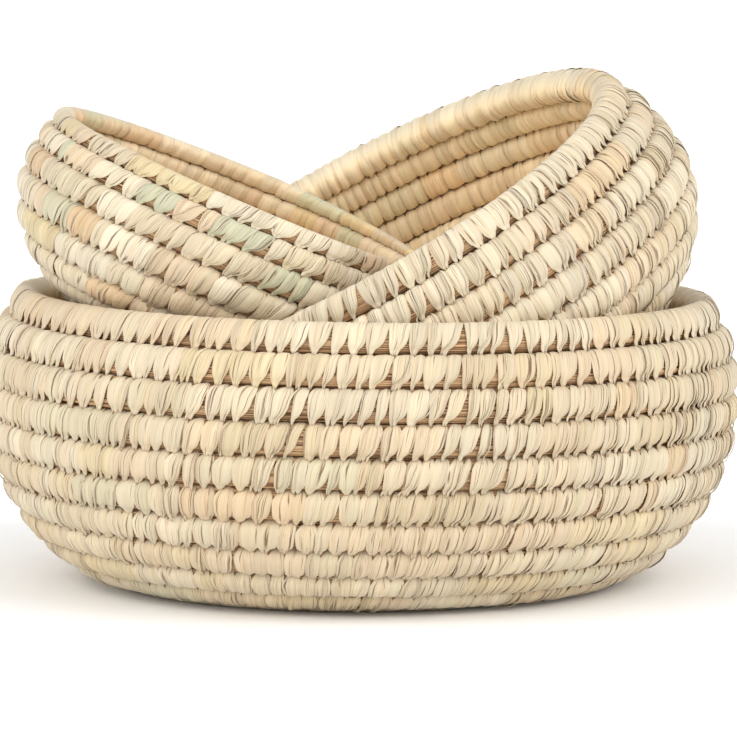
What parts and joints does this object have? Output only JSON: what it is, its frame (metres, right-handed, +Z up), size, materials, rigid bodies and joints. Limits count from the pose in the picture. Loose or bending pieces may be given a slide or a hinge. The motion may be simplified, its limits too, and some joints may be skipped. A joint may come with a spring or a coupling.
{
  "type": "nesting coiled basket set",
  "caption": "Set of nesting round coiled baskets wrapped in date leaf: the large one stands open, the others lean in its mouth, and each lifts straight out for storage use.",
  "frame": {"origin": "middle of the large basket's flat base, on the surface that it stands on", "axes": "+Z up, +X to the right as the picture shows the set, +Y away from the viewer"},
  "size_m": [0.4193, 0.4222, 0.2831],
  "materials": {
    "large_leaf": "dry pale cream leaf strips with a soft sheen over a straw core",
    "medium_leaf": "dry cream leaf strips with pinkish and yellowish ones among them",
    "small_leaf": "dry cream leaf strips with greenish, orange and yellowish ones among them",
    "core_straw": "dull brown and grey palm fibre that shows between the wraps"
  },
  "bodies": {
    "large_basket": {"large_start_knot": "large_leaf", "large_base_coil": "large_leaf", "large_side_coil": "large_leaf", "large_rim_coil": "large_leaf"},
    "medium_basket": {"medium_start_knot": "medium_leaf", "medium_base_coil": "medium_leaf", "medium_side_coil": "medium_leaf", "medium_rim_coil": "medium_leaf"},
    "small_basket": {"small_start_knot": "small_leaf", "small_base_coil": "small_leaf", "small_side_coil": "small_leaf", "small_rim_coil": "small_leaf"}
  },
  "joints": [
    {"name": "medium_lift", "type": "slide", "parent": "large_basket", "child": "medium_basket", "axis": [0, 0, 1], "range_m": [0, 0.16]},
    {"name": "small_lift", "type": "slide", "parent": "medium_basket", "child": "small_basket", "axis": [0, 0, 1], "range_m": [0, 0.2]}
  ]
}
